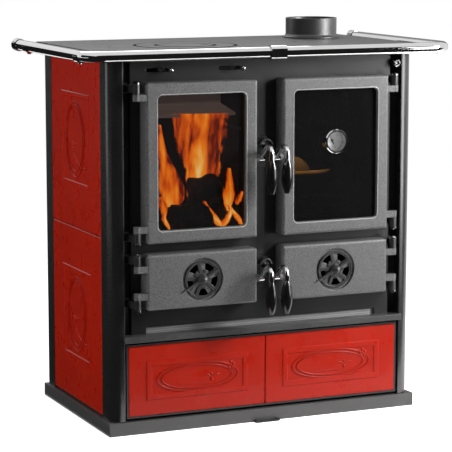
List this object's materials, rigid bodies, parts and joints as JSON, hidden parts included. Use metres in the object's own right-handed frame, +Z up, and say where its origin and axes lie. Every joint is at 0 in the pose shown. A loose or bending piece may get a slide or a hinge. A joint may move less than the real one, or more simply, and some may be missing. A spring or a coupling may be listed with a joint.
{
  "type": "wood-burning cook stove",
  "caption": "Free-standing wood-fired cook stove: hinged firebox and oven doors, vented lower doors, wood drawer, hob with lift-out rings, flue collar and guard rail.",
  "frame": {"origin": "middle of the bounding box at the floor, with all doors shut and the drawer in", "axes": "+X to the right as seen from the front, +Y to the back, +Z up along the flue collar"},
  "size_m": [0.917, 0.538, 0.913],
  "materials": {
    "plinth_paint": "satin",
    "post_enamel": "satin",
    "sheet_steel": "matt",
    "tile_glaze": "glossy",
    "cast_front": "matt, fine cast texture",
    "grille_steel": "satin",
    "hob_enamel": "satin",
    "hob_iron": "ground",
    "chrome": "polished",
    "fire_iron": "sooty",
    "firebrick": "matt",
    "oven_enamel": "glossy",
    "rack_wire": "satin",
    "window_glass": "clear",
    "dial_face": "satin",
    "needle_black": "matt",
    "register_steel": "satin"
  },
  "bodies": {
    "stove": {"plinth": "plinth_paint", "front_posts": "post_enamel", "rear_posts": "post_enamel", "side_panels": "sheet_steel", "side_tiles_left": "tile_glaze", "side_tiles_right": "tile_glaze", "back_panel": "sheet_steel", "front_sheet": "sheet_steel", "face_frame": "cast_front", "ledge_bar": "cast_front", "grille_mesh": "grille_steel", "hob_surround": "hob_enamel", "hob_left": "hob_enamel", "hob_right": "hob_enamel", "hob_plate": "hob_iron", "flue_collar": "hob_enamel", "rail_front": "chrome", "rail_sides": "chrome", "rail_collars": "chrome", "rail_end_caps": "chrome", "rail_sleeve": "chrome", "rail_brackets": "chrome", "firebox_shell": "fire_iron", "firebox_bricks": "firebrick", "fire_grate": "fire_iron", "baffle_plates": "firebrick", "ash_pan": "sheet_steel", "oven_box": "oven_enamel", "oven_rack": "rack_wire", "soot_chamber": "sheet_steel", "drawer_shelf": "sheet_steel", "drawer_runners": "grille_steel", "latch_keepers": "cast_front", "hinge_brackets": "cast_front", "hinge_pins": "chrome"},
    "outer_ring": {"ring_outer": "hob_iron"},
    "centre_disc": {"ring_centre": "hob_iron"},
    "damper": {"damper_rod": "chrome"},
    "air_control": {"air_slide": "chrome"},
    "drawer": {"drawer_box": "sheet_steel", "drawer_front": "sheet_steel", "drawer_tile_left": "tile_glaze", "drawer_tile_right": "tile_glaze"},
    "fire_door": {"firebox_door": "cast_front", "firebox_glass": "window_glass", "firebox_glass_frame": "grille_steel"},
    "fire_latch": {"firebox_handle": "chrome"},
    "baking_door": {"oven_door": "cast_front", "oven_glass": "window_glass", "oven_glass_frame": "grille_steel", "thermometer_case": "chrome", "thermometer_dial": "dial_face"},
    "needle": {"thermometer_needle": "needle_black"},
    "baking_latch": {"oven_handle": "chrome"},
    "lower_left_door": {"ash_door": "cast_front"},
    "left_register": {"ash_register": "register_steel"},
    "lower_left_latch": {"ash_handle": "chrome"},
    "lower_right_door": {"soot_door": "cast_front"},
    "right_register": {"soot_register": "register_steel"},
    "lower_right_latch": {"soot_handle": "chrome"}
  },
  "joints": [
    {"name": "fire_door_hinge", "type": "hinge", "parent": "stove", "child": "fire_door", "pos_m": [-0.32, -0.1975, 0.613], "axis": [0, 0, -1], "range_deg": [0, 110]},
    {"name": "baking_door_hinge", "type": "hinge", "parent": "stove", "child": "baking_door", "pos_m": [0.32, -0.1975, 0.613], "axis": [0, 0, 1], "range_deg": [0, 110]},
    {"name": "lower_left_door_hinge", "type": "hinge", "parent": "stove", "child": "lower_left_door", "pos_m": [-0.32, -0.1975, 0.347], "axis": [0, 0, -1], "range_deg": [0, 110]},
    {"name": "lower_right_door_hinge", "type": "hinge", "parent": "stove", "child": "lower_right_door", "pos_m": [0.32, -0.1975, 0.347], "axis": [0, 0, 1], "range_deg": [0, 110]},
    {"name": "fire_latch_lift", "type": "hinge", "parent": "fire_door", "child": "fire_latch", "pos_m": [-0.0192, -0.1975, 0.614], "axis": [-1, 0, 0], "range_deg": [0, 45]},
    {"name": "baking_latch_lift", "type": "hinge", "parent": "baking_door", "child": "baking_latch", "pos_m": [0.0192, -0.1975, 0.614], "axis": [-1, 0, 0], "range_deg": [0, 45]},
    {"name": "lower_left_latch_lift", "type": "hinge", "parent": "lower_left_door", "child": "lower_left_latch", "pos_m": [-0.0192, -0.1975, 0.339], "axis": [-1, 0, 0], "range_deg": [0, 45]},
    {"name": "lower_right_latch_lift", "type": "hinge", "parent": "lower_right_door", "child": "lower_right_latch", "pos_m": [0.0192, -0.1975, 0.339], "axis": [-1, 0, 0], "range_deg": [0, 45]},
    {"name": "left_register_turn", "type": "hinge", "parent": "lower_left_door", "child": "left_register", "pos_m": [-0.16625, -0.2018, 0.347], "axis": [0, -1, 0], "range_deg": [0, 30]},
    {"name": "right_register_turn", "type": "hinge", "parent": "lower_right_door", "child": "right_register", "pos_m": [0.16625, -0.2018, 0.347], "axis": [0, -1, 0], "range_deg": [0, 30]},
    {"name": "needle_turn", "type": "hinge", "parent": "baking_door", "child": "needle", "pos_m": [0.16925, -0.1785, 0.643], "axis": [0, 1, 0], "range_deg": [-120, 120]},
    {"name": "drawer_pull", "type": "slide", "parent": "stove", "child": "drawer", "axis": [0, -1, 0], "range_m": [0, 0.35]},
    {"name": "damper_pull", "type": "slide", "parent": "stove", "child": "damper", "axis": [0, -1, 0], "range_m": [0, 0.08]},
    {"name": "air_control_slide", "type": "slide", "parent": "stove", "child": "air_control", "axis": [-1, 0, 0], "range_m": [0, 0.045]},
    {"name": "outer_ring_lift", "type": "slide", "parent": "stove", "child": "outer_ring", "axis": [0, 0, 1], "range_m": [0, 0.12]},
    {"name": "centre_disc_lift", "type": "slide", "parent": "outer_ring", "child": "centre_disc", "axis": [0, 0, 1], "range_m": [0, 0.12]}
  ]
}
